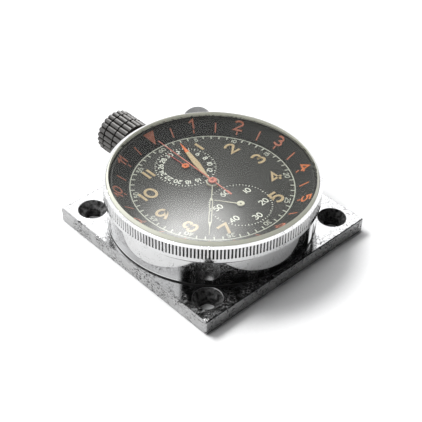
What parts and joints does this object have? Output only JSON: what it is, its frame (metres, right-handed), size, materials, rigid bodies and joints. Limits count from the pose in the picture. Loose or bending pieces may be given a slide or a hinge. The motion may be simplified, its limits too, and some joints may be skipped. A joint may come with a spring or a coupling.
{
  "type": "mechanical timer",
  "caption": "Hand-wound mechanical timer with sweep hand, two sub-dials, turning hour ring and push-button, in a round case on a square flange for panel mounting.",
  "frame": {"origin": "centre of the flange plate's rear face, on the dial's axis", "axes": "+Z out of the dial, +Y toward twelve o'clock and the crown, +X toward three o'clock"},
  "size_m": [0.0608, 0.0746, 0.0206],
  "materials": {
    "plated_steel": "worn bright nickel plating with dark pits and edge wear",
    "brushed_steel": "brushed",
    "steel": "polished steel",
    "crown_steel": "matt steel with grime in the flutes",
    "blued_steel": "blued",
    "spring_steel": "tempered spring steel",
    "gilt_brass": "gilt, matt",
    "ring_brass": "plain turned brass",
    "wheel_brass": "polished brass",
    "ruby": "polished synthetic ruby",
    "black_rubber": "matt",
    "dial_black": "matt black dial paint with printed numbers",
    "ring_black": "satin black with printed numbers",
    "acrylic": "clear acrylic, slightly scratched",
    "cream_paint": "aged cream paint",
    "tan_paint": "aged luminous paint, orange at the tip",
    "red_paint": "aged red paint",
    "orange_paint": "orange paint"
  },
  "bodies": {
    "case": {"flange_plate": "plated_steel", "case_screws": "blued_steel", "case_band": "plated_steel", "case_back": "brushed_steel", "case_back_gasket": "black_rubber", "crown_tube": "steel", "pusher_tube": "steel", "movement_ring": "ring_brass", "main_plate": "gilt_brass", "barrel_bridge": "gilt_brass", "train_bridge": "gilt_brass", "balance_cock": "gilt_brass", "pallet_cock": "gilt_brass", "chronograph_bridge": "gilt_brass", "bridge_screws": "blued_steel", "jewels": "ruby", "dial": "dial_black"},
    "bezel": {"bezel": "plated_steel", "chapter_ring": "ring_black", "crystal": "acrylic", "bezel_spring": "spring_steel"},
    "winding_pinion": {"winding_pinion": "steel"},
    "crown": {"crown": "crown_steel", "winding_stem": "steel", "crown_seal": "black_rubber"},
    "crown_wheel": {"crown_wheel": "steel"},
    "winding_idler": {"winding_idler": "steel"},
    "barrel_arbor": {"barrel_arbor": "steel", "ratchet_wheel": "steel"},
    "barrel": {"barrel": "gilt_brass", "mainspring": "spring_steel"},
    "click": {"click": "steel"},
    "setting_lever": {"setting_lever": "steel"},
    "push_button": {"push_button": "plated_steel", "pusher_spring": "spring_steel"},
    "operating_lever": {"operating_lever": "steel"},
    "column_wheel": {"column_wheel": "steel"},
    "reset_hammer": {"reset_hammer": "steel"},
    "coupling_lever": {"coupling_lever": "steel"},
    "coupling_wheel": {"coupling_wheel": "wheel_brass"},
    "centre_wheel": {"centre_wheel": "wheel_brass", "cannon_pinion": "steel", "minute_hand": "cream_paint"},
    "third_wheel": {"third_wheel": "wheel_brass"},
    "fourth_wheel": {"fourth_wheel": "wheel_brass", "driving_wheel": "wheel_brass", "seconds_hand": "cream_paint"},
    "escape_wheel": {"escape_wheel": "steel"},
    "pallet_fork": {"pallet_fork": "steel"},
    "balance": {"balance_wheel": "wheel_brass", "hairspring": "spring_steel"},
    "minute_wheel": {"minute_wheel": "wheel_brass"},
    "hour_wheel": {"hour_wheel": "wheel_brass", "hour_hand": "tan_paint"},
    "chronograph_wheel": {"chronograph_wheel": "wheel_brass", "chronograph_hand": "red_paint"},
    "intermediate_wheel": {"intermediate_wheel": "wheel_brass"},
    "minute_recorder": {"minute_recorder": "wheel_brass", "counter_hand": "orange_paint"}
  },
  "joints": [
    {"name": "bezel_turn", "type": "hinge", "parent": "case", "child": "bezel", "pos_m": [0, 0, 0.016], "axis": [0, 0, 1], "continuous": true},
    {"name": "crown_turn", "type": "hinge", "parent": "case", "child": "winding_pinion", "pos_m": [0, 0.014, 0.0102], "axis": [0, 1, 0], "continuous": true},
    {"name": "crown_pull", "type": "slide", "parent": "winding_pinion", "child": "crown", "axis": [0, 1, 0], "range_m": [0, 0.0015]},
    {"name": "crown_wheel_turn", "type": "hinge", "parent": "case", "child": "crown_wheel", "pos_m": [0, 0.016, 0.0073], "axis": [0, 0, 1], "continuous": true},
    {"name": "winding_idler_turn", "type": "hinge", "parent": "case", "child": "winding_idler", "pos_m": [-0.0054, 0.01221, 0.0073], "axis": [0, 0, 1], "continuous": true},
    {"name": "ratchet_turn", "type": "hinge", "parent": "case", "child": "barrel_arbor", "pos_m": [-0.0102, 0.00355, 0.0073], "axis": [0, 0, 1], "continuous": true},
    {"name": "click_rock", "type": "hinge", "parent": "case", "child": "click", "pos_m": [-0.01791, 0.00819, 0.0073], "axis": [0, 0, 1], "range_deg": [-10, 0], "stiffness_Nm_per_rad": 0.0002, "springref_deg": 9.74},
    {"name": "setting_lever_turn", "type": "hinge", "parent": "case", "child": "setting_lever", "pos_m": [0.0042, 0.0182, 0.009], "axis": [0, 0, 1], "range_deg": [-21.05, 0]},
    {"name": "button_press", "type": "slide", "parent": "case", "child": "push_button", "axis": [-0.5878, -0.809, 0], "range_m": [0, 0.0014], "stiffness_N_per_m": 900, "springref_m": -0.0012, "deforming": ["pusher_spring"]},
    {"name": "operating_lever_turn", "type": "hinge", "parent": "case", "child": "operating_lever", "pos_m": [0.0046, 0.017, 0.0034], "axis": [0, 0, 1], "range_deg": [-11.03, 0]},
    {"name": "column_wheel_turn", "type": "hinge", "parent": "case", "child": "column_wheel", "pos_m": [0.0095, 0.012, 0.0045], "axis": [0, 0, 1], "range_deg": [-0.5, 30.5]},
    {"name": "hammer_fall", "type": "hinge", "parent": "case", "child": "reset_hammer", "pos_m": [0.0036, 0.0152, 0.0041], "axis": [0, 0, 1], "range_deg": [-2.5, 0], "stiffness_Nm_per_rad": 0.0002, "springref_deg": 2.86},
    {"name": "coupling_lever_rock", "type": "hinge", "parent": "case", "child": "coupling_lever", "pos_m": [-0.00377, -0.01534, 0.0037], "axis": [0, 0, 1], "range_deg": [0, 0.3], "stiffness_Nm_per_rad": 0.0002, "springref_deg": -2.86},
    {"name": "seconds_run", "type": "hinge", "parent": "case", "child": "fourth_wheel", "pos_m": [0, -0.0112, 0.0074], "axis": [0, 0, 1], "continuous": true},
    {"name": "third_turn", "type": "hinge", "parent": "case", "child": "third_wheel", "pos_m": [0.00642, -0.00631, 0.0082], "axis": [0, 0, 1], "continuous": true},
    {"name": "minutes_run", "type": "hinge", "parent": "case", "child": "centre_wheel", "pos_m": [0, 0, 0.0104], "axis": [0, 0, 1], "continuous": true},
    {"name": "barrel_turn", "type": "hinge", "parent": "case", "child": "barrel", "pos_m": [-0.0102, 0.00355, 0.0093], "axis": [0, 0, 1], "continuous": true},
    {"name": "escape_turn", "type": "hinge", "parent": "case", "child": "escape_wheel", "pos_m": [-0.0055, -0.014, 0.0097], "axis": [0, 0, 1], "continuous": true},
    {"name": "minute_wheel_turn", "type": "hinge", "parent": "case", "child": "minute_wheel", "pos_m": [-0.00334, -0.00234, 0.0133], "axis": [0, 0, 1], "continuous": true},
    {"name": "hours_run", "type": "hinge", "parent": "case", "child": "hour_wheel", "pos_m": [0, 0, 0.0138], "axis": [0, 0, 1], "continuous": true},
    {"name": "coupling_wheel_turn", "type": "hinge", "parent": "coupling_lever", "child": "coupling_wheel", "pos_m": [0.00479, -0.00593, 0.0047], "axis": [0, 0, 1], "continuous": true},
    {"name": "pallet_rock", "type": "hinge", "parent": "case", "child": "pallet_fork", "pos_m": [-0.00884, -0.01241, 0.0097], "axis": [0, 0, 1], "range_deg": [-5, 5]},
    {"name": "balance_swing", "type": "hinge", "parent": "case", "child": "balance", "pos_m": [-0.0118, -0.011, 0.0085], "axis": [0, 0, 1], "range_deg": [-270, 270], "stiffness_Nm_per_rad": 0.000001},
    {"name": "chronograph_run", "type": "hinge", "parent": "case", "child": "chronograph_wheel", "pos_m": [0, 0, 0.0047], "axis": [0, 0, 1], "continuous": true},
    {"name": "intermediate_turn", "type": "hinge", "parent": "case", "child": "intermediate_wheel", "pos_m": [-0.00301, 0.00784, 0.0052], "axis": [0, 0, 1], "continuous": true},
    {"name": "recorder_turn", "type": "hinge", "parent": "case", "child": "minute_recorder", "pos_m": [0, 0.0112, 0.0052], "axis": [0, 0, 1], "continuous": true}
  ],
  "couplings": [
    {"joint": "crown_wheel_turn", "follows": "crown_turn", "ratio": -0.75},
    {"joint": "winding_idler_turn", "follows": "crown_turn", "ratio": 0.9},
    {"joint": "ratchet_turn", "follows": "crown_turn", "ratio": -0.3913},
    {"joint": "setting_lever_turn", "follows": "crown_pull", "rad_per_m": -238},
    {"joint": "operating_lever_turn", "follows": "button_press", "rad_per_m": -130},
    {"joint": "column_wheel_turn", "follows": "button_press", "rad_per_m": 374},
    {"joint": "third_turn", "follows": "seconds_run", "ratio": -0.13333},
    {"joint": "minutes_run", "follows": "seconds_run", "ratio": 0.016667},
    {"joint": "barrel_turn", "follows": "seconds_run", "ratio": -0.0025641},
    {"joint": "escape_turn", "follows": "seconds_run", "ratio": -10},
    {"joint": "minute_wheel_turn", "follows": "seconds_run", "ratio": -0.0055556},
    {"joint": "hours_run", "follows": "seconds_run", "ratio": 0.0013889},
    {"joint": "coupling_wheel_turn", "follows": "seconds_run", "ratio": -1.7143},
    {"joint": "intermediate_turn", "follows": "chronograph_run", "ratio": -0.045455},
    {"joint": "recorder_turn", "follows": "chronograph_run", "ratio": 0.033333}
  ]
}
